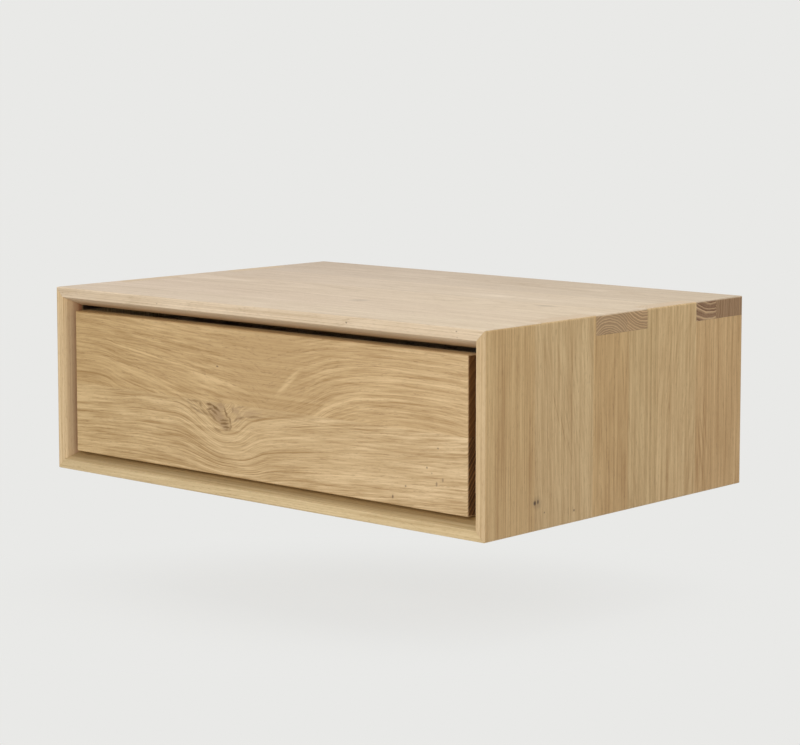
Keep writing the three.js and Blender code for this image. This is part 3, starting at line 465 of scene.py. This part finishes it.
def bend_round_knot(tree, along, across):
    """Grain lines dip under the knot below the glue line, and fall towards it above the line"""
    left_reach, tail_reach = (-0.110, -0.042), (-0.020, 0.110)  # where the dip begins and ends
    steepness, lean, middle = 111.0, -62.0, 3.33  # the dip's right flank, which leans with depth
    flank_share, tail_share = 0.75, 0.25
    dip_depth, crowding = 0.027, 0.35  # lines lie closer together where they dip
    left_end = -0.16  # past it the lines fall again, and right of the middle they rise
    left_fall, right_rise = 0.06, 0.085  # metres a metre
    height = calc(tree, "SUBTRACT", across, glue_line)
    depth = calc(tree, "MULTIPLY", height, -1.0)
    left_flank = remap(tree, along, *left_reach, smooth=True)
    slide = calc(tree, "MULTIPLY_ADD", depth, lean,
                 calc(tree, "MULTIPLY_ADD", along, steepness, middle))
    right_flank = calc(tree, "DIVIDE", flank_share,
                       calc(tree, "ADD", calc(tree, "EXPONENT", slide), 1.0))
    tail = remap(tree, along, *tail_reach, tail_share, 0.0, smooth=True)
    dip = calc(tree, "MULTIPLY", left_flank, calc(tree, "ADD", right_flank, tail))
    past_left_end = calc(tree, "MAXIMUM", calc(tree, "SUBTRACT", left_end, along), 0.0)
    depth = calc(tree, "SUBTRACT", depth, calc(tree, "MULTIPLY", past_left_end, left_fall))
    depth = calc(tree, "ADD", depth, calc(
        tree, "MULTIPLY", calc(tree, "MAXIMUM", along, 0.0), right_rise))
    sunk = calc(tree, "SUBTRACT", calc(tree, "MULTIPLY", dip, dip_depth), depth)
    below = calc(tree, "DIVIDE", sunk, calc(tree, "MULTIPLY_ADD", dip, -crowding, 1.0))

    front_width, upper_heights = (-0.2525, 0.2525), (0.0, 0.070)
    lift_at_line, lift_at_top = 0.041, 0.008
    curve = add(tree, "FloatCurve", None, Factor=1.0, Value=remap(tree, along, *front_width))
    points = [(0.0, 0.0), (0.060, 0.0), (0.124, 0.19), (0.193, 0.36), (0.330, 0.635),
              (0.441, 0.81), (0.490, 0.90), (0.522, 1.0), (0.555, 0.94), (0.620, 0.75),
              (0.704, 0.346), (0.797, 0.096), (0.876, 0.02), (1.0, 0.12)]
    line = curve.mapping.curves[0]
    while len(line.points) < len(points):
        line.points.new(0.5, 0.5)
    for point, spot in zip(line.points, points):
        point.location = spot
    curve.mapping.update()
    lift = calc(tree, "MULTIPLY", curve.outputs[0],
                remap(tree, height, *upper_heights, lift_at_line, lift_at_top))
    above = calc(tree, "ADD", height, lift)
    return remap(tree, calc(tree, "GREATER_THAN", height, 0.0), 0.0, 1.0, below, above)


def calm_above_knot(tree, along, across):
    """The grain lines fade in the upper stave, most of all over the knot"""
    line_reach = (-0.001, 0.001)
    lower_strength, upper_strength = 0.85, 0.62
    height = calc(tree, "SUBTRACT", across, glue_line)
    near = marks_mask(tree, along, height, [
        (0.012, 0.040, 0.075, 0.100, 0.6), (-0.020, -0.008, 0.035, 0.012, 0.5),
        (0.120, -0.030, 0.170, 0.034, 0.4)])
    strength = remap(tree, height, *line_reach, lower_strength, upper_strength)
    return calc(tree, "SUBTRACT", strength, near)


knot_strokes = [
    (-0.0630, -0.0098, 0.0070, 0.0022, 0.95, -4), (-0.0550, -0.0122, 0.0095, 0.0020, 0.95, -28),
    (-0.0625, -0.0142, 0.0065, 0.0018, 0.75, 14), (-0.0565, -0.0162, 0.0080, 0.0018, 0.70, -28),
    (-0.0590, -0.0205, 0.0100, 0.0018, 0.65, -34), (-0.0430, -0.0232, 0.0095, 0.0017, 0.75, 4),
    (-0.0420, -0.0262, 0.0095, 0.0017, 0.85, 6), (-0.0400, -0.0290, 0.0080, 0.0016, 0.85, 2),
    (-0.0395, -0.0312, 0.0060, 0.0014, 0.6, 2),
    (-0.0800, -0.0170, 0.0150, 0.0018, 0.6, -20), (-0.0745, -0.0112, 0.0042, 0.0026, 0.6, -70),
    (-0.0692, -0.0184, 0.0100, 0.0017, 0.55, -24), (-0.0520, -0.0330, 0.0085, 0.0016, 0.5, -18),
    (-0.0860, -0.0120, 0.0120, 0.0016, 0.5, -16), (-0.0850, -0.0082, 0.0160, 0.0015, 0.5, 0),
    (-0.0410, -0.0150, 0.0080, 0.0020, 0.8, -62), (-0.0357, -0.0228, 0.0065, 0.0019, 0.7, -60),
    (-0.0349, -0.0290, 0.0048, 0.0018, 0.6, -112),
    (-0.0280, -0.0213, 0.0060, 0.0017, 0.5, 34), (-0.0206, -0.0183, 0.0080, 0.0016, 0.55, 14),
    (-0.0046, -0.0160, 0.0180, 0.0016, 0.5, 6), (-0.0206, -0.0082, 0.0080, 0.0014, 0.4, 6),
    (-0.0320, -0.0124, 0.0040, 0.0015, 0.45, 60),
]
knot_patches = [
    (-0.0520, -0.0180, 0.0190, 0.0100, 0.80, -32), (-0.0430, -0.0280, 0.0090, 0.0060, 0.6, 0),
    (-0.0475, -0.0100, 0.0080, 0.0060, 0.70, -20), (-0.0465, -0.0090, 0.0040, 0.0040, 0.70, -60),
    (-0.0280, -0.0125, 0.0080, 0.0050, 0.5, -20), (-0.0240, -0.0190, 0.0070, 0.0045, 0.55, 40),
    (-0.0080, -0.0130, 0.0200, 0.0040, 0.45, 6),
]


def drawer_knot(tree, along, across, color):
    """A knot cut by the glue line: dark slanting fibres in grey brown wood, browner at its right"""
    along_rate, across_rate = 130.0, 260.0
    along_wobble, across_wobble = 0.005, 0.003
    patch_brown, stroke_brown = srgb(160, 130, 94), srgb(116, 84, 40)
    flat = vector(tree, calc(tree, "MULTIPLY", along, along_rate),
                  calc(tree, "MULTIPLY", across, across_rate), 0.0)
    wobble = split(tree, noise(tree, flat, 2.0, 0.6, 1))
    along = calc(tree, "MULTIPLY_ADD", calc(tree, "SUBTRACT", wobble[0], 0.5), along_wobble, along)
    across = calc(tree, "MULTIPLY_ADD", calc(tree, "SUBTRACT", wobble[1], 0.5), across_wobble,
                  across)
    under = calc(tree, "LESS_THAN", across, glue_line)
    patches = calc(tree, "MULTIPLY", marks_mask(tree, along, across, knot_patches), under)
    strokes = calc(tree, "MULTIPLY", marks_mask(tree, along, across, knot_strokes), under)
    color = blend(tree, patches, color, patch_brown)
    return blend(tree, strokes, color, stroke_brown)


front_light_streaks = [
    (0.0385, 0.0512, 0.019, 0.0020, 0.45, 15), (0.0450, 0.0550, 0.016, 0.0016, 0.40, 15),
    (-0.150, 0.0460, 0.110, 0.0012, 0.5), (-0.060, 0.0440, 0.060, 0.0012, 0.4),
    (-0.130, 0.0265, 0.080, 0.0014, 0.3), (0.060, -0.0100, 0.100, 0.0035, 0.35),
    (-0.040, -0.0578, 0.110, 0.0016, 0.45), (0.041, 0.0525, 0.024, 0.0036, 0.25, 20),
    (0.140, 0.0260, 0.100, 0.0016, 0.3), (0.020, -0.0240, 0.060, 0.0016, 0.3),
]
front_dark_streaks = [
    (0.030, 0.0620, 0.170, 0.0600, 0.14),
    (-0.020, -0.0044, 0.130, 0.0013, 0.45), (-0.100, -0.0160, 0.150, 0.0014, 0.35),
    (-0.180, -0.0030, 0.070, 0.0022, 0.40), (-0.120, -0.0286, 0.140, 0.0013, 0.30),
    (0.000, -0.0383, 0.200, 0.0013, 0.30), (-0.060, -0.0480, 0.100, 0.0012, 0.30),
    (0.150, 0.0228, 0.100, 0.0012, 0.35), (0.150, 0.0290, 0.100, 0.0012, 0.25),
    (0.160, -0.0170, 0.100, 0.0014, 0.25), (-0.220, 0.0120, 0.060, 0.0016, 0.35),
]
front_marks = [
    (-0.052, 0.0267, 0.0024, 0.0012, 0.75), (0.219, -0.0197, 0.0016, 0.0012, 0.6),
    (0.2065, -0.0377, 0.0016, 0.0014, 0.6), (0.2175, -0.0507, 0.0016, 0.0030, 0.55),
    (0.2245, -0.0465, 0.0016, 0.0026, 0.5), (0.212, -0.0420, 0.0012, 0.0012, 0.4),
    (0.182, -0.0567, 0.0014, 0.0014, 0.6), (0.167, -0.0677, 0.0016, 0.0024, 0.7),
]
front_reach = (-0.075, 0.0635)
# The drawer front's tint ramp is painted shade: darker and browner towards its left end, lighter
# towards its right
front_oak = oak_board(
    "oak drawer front", 0, 2, front_reach, front_staves, front_woods, front_marks, sway=0.004,
    bend=bend_round_knot, calm=calm_above_knot, grit=1.2, thread=0.7, ends=front_end_grain_and_shade,
    knot=drawer_knot, tint_and_shade_ramp=(-0.25, 0.25, (0.93, 0.90, 0.81), (1.02, 1.03, 1.07)),
    light_streaks=front_light_streaks, dark_streaks=front_dark_streaks)
finish_with(front_oak, "drawer_front")


# Drawer box, cleat, rails and dowels. Plain steamed beech, planed, with the short brown flecks
# of its rays. The drawer's own box is lacquered, so it shines a little more than the oak.
def beech(name, grain_axis, light, dark):
    """Beech with its grain along one axis"""
    material, tree, shader, coordinates = procedural(name)
    place, facing = split(tree, coordinates["Object"]), split(tree, coordinates["Normal"])
    along = place[grain_axis]
    across, through = [place[axis] for axis in range(3) if axis != grain_axis]
    grain = (tree, along, across, through)
    streaks = fibres(*grain, 14.0, 700.0, 2.0, 0.55)
    tone = calc(tree, "ADD", fibres(*grain, 3.0, 60.0, 3.0, 0.55), streaks)
    tone = remap(tree, tone, 0.7, 1.3)
    color = blend(tree, tone, srgb(*dark), srgb(*light))
    rays = fibres(*grain, 260.0, 1300.0, 1.0, 0.55)
    flecks = remap(tree, rays, 0.60, 0.68, 0.0, 0.5, smooth=True)
    color = blend(tree, flecks, color, srgb(150, 108, 74))
    end = remap(tree, calc(tree, "ABSOLUTE", facing[grain_axis]), 0.75, 0.92, smooth=True)
    color = blend(tree, calc(tree, "MULTIPLY", end, 0.5), color, srgb(164, 124, 88))
    dress(tree, shader, color, remap(tree, tone, 0.0, 1.0, 0.48, 0.38), streaks, 0.2, 0.0001)
    return material


sides = ("left", "right")
beech_light = (226, 196, 160)
beech_dark = (204, 168, 130)
dowels = [f"{side}_{place}_dowel" for side in sides
          for place in ("upper_rail", "lower_rail", "batten")]
finish_with(beech("beech drawer sides", 1, beech_light, beech_dark),
            "drawer_left_side", "drawer_right_side")
finish_with(beech("beech rails", 0, beech_light, beech_dark),
            "drawer_back", "hanging_rail", "wall_cleat", "spacer_batten", *dowels)


# Back panel, drawer bottom and corner tongues. Birch plywood cut on a saw: a pale rotary veneer
# on both faces, and thin plies, one light and one dark, wherever its edge shows.
def birch_plywood(name, grain_axis, plies_face):
    """Plywood whose plies lie across the given direction"""
    material, tree, shader, coordinates = procedural(name)
    place = split(tree, coordinates["Object"])
    along = place[grain_axis]
    across, through = [place[axis] for axis in range(3) if axis != grain_axis]

    def along_plies_face(direction):
        """How much of a direction or place lies across the plies"""
        dot = {"operation": "DOT_PRODUCT"}
        return add(tree, "VectorMath", dot, i0=direction, i1=plies_face).outputs["Value"]

    waves = fibres(tree, along, across, through, 5.0, 16.0, 3.0)
    figure = calc(tree, "SINE", calc(tree, "MULTIPLY_ADD", waves, 70.0,
                                     calc(tree, "MULTIPLY", across, 90.0)))
    grit = fibres(tree, along, across, through, 60.0, 900.0, 2.0)
    tone = calc(tree, "MULTIPLY_ADD", figure, 0.22, calc(tree, "MULTIPLY_ADD", grit, 0.9, 0.05),
                clamp=True)
    face = blend(tree, tone, srgb(212, 184, 144), srgb(234, 212, 178))
    two_plies = 0.0027
    plies = calc(tree, "SINE", calc(tree, "MULTIPLY", along_plies_face(coordinates["Object"]),
                                    2 * math.pi / two_plies))
    edge = blend(tree, remap(tree, plies, -0.4, 0.4, smooth=True),
                 srgb(164, 124, 84), srgb(224, 196, 156))
    flat = remap(tree, calc(tree, "ABSOLUTE", along_plies_face(coordinates["Normal"])), 0.6, 0.9,
                 smooth=True)
    dress(tree, shader, blend(tree, flat, edge, face), remap(tree, tone, 0.0, 1.0, 0.60, 0.50),
          grit, 0.2, 0.0001)
    return material


finish_with(birch_plywood("birch plywood back", 0, (0.0, 1.0, 0.0)), "back_panel")
finish_with(birch_plywood("birch plywood bottom", 0, (0.0, 0.0, 1.0)), "drawer_bottom")
finish_with(birch_plywood("birch plywood tongues", 1, (0.7071, 0.0, -0.7071)),
            "left_mitre_tongue", "right_mitre_tongue")


# Runners and screws. The runner profiles are rolled from steel strip and zinc plated, so their
# faces keep faint drawing lines along the roll and clouds from the plating bath.
def plated_steel(name, color, rough, line_rates, mottle):
    """Bright steel with lines along the direction that has the lowest rate"""
    material, tree, shader, coordinates = procedural(name)
    shader.inputs["Metallic"].default_value = 1.0
    place = coordinates["Object"]
    lined = add(tree, "VectorMath", {"operation": "MULTIPLY"}, i0=place, i1=line_rates).outputs[0]
    lines = noise(tree, lined, 3.0, 0.6)
    spread = add(tree, "VectorMath", {"operation": "SCALE"}, i0=place, Scale=60.0).outputs[0]
    clouds = noise(tree, spread, 3.0)
    shade = calc(tree, "MULTIPLY_ADD", clouds, mottle, calc(tree, "MULTIPLY", lines, mottle),
                 clamp=True)
    worn = blend(tree, 1.0, srgb(*color), srgb(214, 210, 204), "MULTIPLY")
    dress(tree, shader, blend(tree, shade, srgb(*color), worn),
          calc(tree, "MULTIPLY_ADD", lines, 0.22, rough), lines, 0.15, 0.00005)
    return material


zinc = (206, 208, 211)
profile_steel = plated_steel("zinc plated runner", zinc, 0.24, (1400.0, 9.0, 1400.0), 0.9)
screw_steel = plated_steel("zinc plated screw", zinc, 0.26, (300.0, 300.0, 300.0), 0.9)
cage_steel = plated_steel("bright steel cage", (222, 223, 226), 0.10, (240.0, 60.0, 240.0), 0.7)
profiles = [f"{side}_{part}_profile" for side in sides for part in ("cabinet", "middle", "drawer")]
cages = [f"{side}_{level}_ball_cage" for side in sides for level in ("lower", "upper")]
screw_counts = {"left_runner": 3, "right_runner": 3, "left_lock": 2, "right_lock": 2,
                "drawer_bottom": 3, "push_latch": 2}
screws = [f"{what}_screw_{n + 1}" for what, count in screw_counts.items() for n in range(count)]
finish_with(profile_steel, *profiles)
finish_with(screw_steel, *screws)
finish_with(cage_steel, *cages)

# Latch spring. A coil of hard steel wire, zinc plated, that stands loose in the latch's tube
# between its closed end and the plunger. The real one shortens as the plunger is pressed in;
# this merged copy of the CAD coil keeps its length and hangs from the case.
spring_mesh = bpy.data.meshes.new("latch_spring")
spring_bm = bmesh.new()
spring_bm.from_mesh(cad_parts["push_latch_spring"].data)
same_place = 0.000001
bmesh.ops.remove_doubles(spring_bm, verts=spring_bm.verts, dist=same_place)
spring_bm.to_mesh(spring_mesh)
spring_bm.free()
spring_mesh.materials.clear()
spring_mesh.materials.append(screw_steel)
spring = bpy.data.objects.new("latch_spring", spring_mesh)
bpy.context.scene.collection.objects.link(spring)
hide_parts("push_latch_spring")
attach(spring, "case")
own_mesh(spring)


# Release locks, push latch and its tip. Moulded nylon with a fine spark texture from the mould,
# grey for the bodies and orange for the levers that a hand has to find, and a soft black tip.
def moulded(name, color, rough, grain_size):
    """Moulded plastic or rubber with a fine texture of the given size"""
    material, tree, shader, coordinates = procedural(name)

    def cloud(rate, detail):
        """Noise at so many waves a metre"""
        scale = {"operation": "SCALE"}
        node = add(tree, "VectorMath", scale, i0=coordinates["Object"], Scale=rate)
        return noise(tree, node.outputs[0], detail)

    grit = cloud(1 / grain_size, 2.0)
    flow = remap(tree, cloud(90.0, 3.0), 0.3, 0.7)
    lighter = blend(tree, 0.12, srgb(*color), (1, 1, 1, 1))
    dress(tree, shader, blend(tree, flow, srgb(*color), lighter),
          calc(tree, "MULTIPLY_ADD", grit, 0.2, rough), grit, 0.4, 0.00003)
    return material


finish_with(moulded("grey nylon", (132, 134, 136), 0.38, 0.0004),
            "left_lock_body", "right_lock_body", "push_latch_housing", "push_latch_plunger")
finish_with(moulded("orange nylon", (226, 112, 38), 0.34, 0.0004),
            "left_release_lever", "right_release_lever")
finish_with(moulded("black rubber", (38, 38, 40), 0.62, 0.0003), "push_latch_tip")

# Studio. A plain pale floor under the floating case, soft light from above and the front,
# and the camera at the photograph's place.
floor_drop = 0.100  # below the case
floor_half = 30.0
floor_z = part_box("bottom_panel")[0].z - floor_drop
backdrop = srgb(233, 233, 231)
floor_mesh = bpy.data.meshes.new("floor")
floor_bm = bmesh.new()
bmesh.ops.create_grid(floor_bm, x_segments=1, y_segments=1, size=floor_half)
bmesh.ops.translate(floor_bm, verts=floor_bm.verts, vec=(0.0, 0.0, floor_z))
floor_bm.to_mesh(floor_mesh)
floor_bm.free()
floor = bpy.data.objects.new("floor", floor_mesh)
bpy.context.scene.collection.objects.link(floor)

floor_paint = bpy.data.materials.new("studio floor")
floor_paint.use_nodes = True
tree = floor_paint.node_tree
tree.nodes.clear()
path = add(tree, "LightPath").outputs
spot = split(tree, add(tree, "TexCoord").outputs["Object"])
shadow_x, shadow_y, shadow_long, shadow_short = 0.03, -0.29, 0.42, 0.26
shadow_cos, shadow_sin = 0.743, 0.669  # it lies turned by 42 degrees
from_x = calc(tree, "SUBTRACT", spot[0], shadow_x)
from_y = calc(tree, "SUBTRACT", spot[1], shadow_y)
wide = calc(tree, "MULTIPLY_ADD", from_x, shadow_cos / shadow_long,
            calc(tree, "MULTIPLY", from_y, shadow_sin / shadow_long))
near = calc(tree, "MULTIPLY_ADD", from_x, shadow_sin / shadow_short,
            calc(tree, "MULTIPLY", from_y, -shadow_cos / shadow_short))
away = calc(tree, "SQRT", calc(tree, "MULTIPLY_ADD", wide, wide,
                               calc(tree, "MULTIPLY", near, near)))
plain = add(tree, "BsdfDiffuse", None, Color=srgb(232, 232, 230)).outputs[0]
glow = add(tree, "Emission", None, Color=backdrop, Strength=1.0).outputs[0]
seen = calc(tree, "MAXIMUM", path["Is Camera Ray"], path["Is Glossy Ray"])
cover = calc(tree, "MULTIPLY", seen, remap(tree, away, 0.2, 1.1, 0.88, 1.0, smooth=True))
mixed = add(tree, "MixShader", None, i0=cover, i1=plain, i2=glow).outputs[0]
from_below = add(tree, "NewGeometry").outputs["Backfacing"]
clear = add(tree, "BsdfTransparent").outputs[0]
mixed = add(tree, "MixShader", None, i0=from_below, i1=mixed, i2=clear).outputs[0]
tree.links.new(mixed, add(tree, "OutputMaterial").inputs[0])
floor_mesh.materials.append(floor_paint)

world = bpy.data.worlds.new("studio")
bpy.context.scene.world = world
world.use_nodes = True
tree = world.node_tree
tree.nodes.clear()
path = add(tree, "LightPath").outputs
seen = calc(tree, "MAXIMUM", path["Is Camera Ray"], calc(
    tree, "MAXIMUM", path["Is Glossy Ray"], path["Is Transmission Ray"]))
around = add(tree, "Background", None, Color=(1, 1, 1, 1), Strength=0.32).outputs[0]
behind = add(tree, "Background", None, Color=backdrop, Strength=1.0).outputs[0]
mixed = add(tree, "MixShader", None, i0=seen, i1=around, i2=behind).outputs[0]
tree.links.new(mixed, add(tree, "OutputWorld").inputs[0])


def soft_lamp(name, place, target, size, watts):
    """A wide lamp at a place, turned to its target"""
    data = bpy.data.lights.new(name, "AREA")
    data.shape = "RECTANGLE"
    data.size, data.size_y = size
    data.energy = watts
    lamp = bpy.data.objects.new(name, data)
    lamp.location = place
    lamp.rotation_euler = (Vector(target) - Vector(place)).to_track_quat("-Z", "Y").to_euler()
    bpy.context.scene.collection.objects.link(lamp)


soft_lamp("key", (0.9, -2.6, 0.8), (0.0, -0.2, 0.0), (2.0, 1.6), 41)
soft_lamp("overhead", (0.2, 0.2, 2.4), (0.0, -0.2, 0.0), (2.2, 1.4), 35)

camera_data = bpy.data.cameras.new("camera")
camera_data.sensor_width = 36
camera_data.lens = 108.18
camera_data.shift_y = -0.1
camera_data.clip_end = 100
camera = bpy.data.objects.new("camera", camera_data)
camera.location = (1.549, -1.901, 0.3213)
yaw, pitch = math.radians(41.99), math.radians(5.85)
camera.rotation_euler = (math.pi / 2 - pitch, 0.0, yaw)
bpy.context.scene.collection.objects.link(camera)
bpy.context.scene.camera = camera
bpy.context.scene.view_settings.view_transform = "Standard"
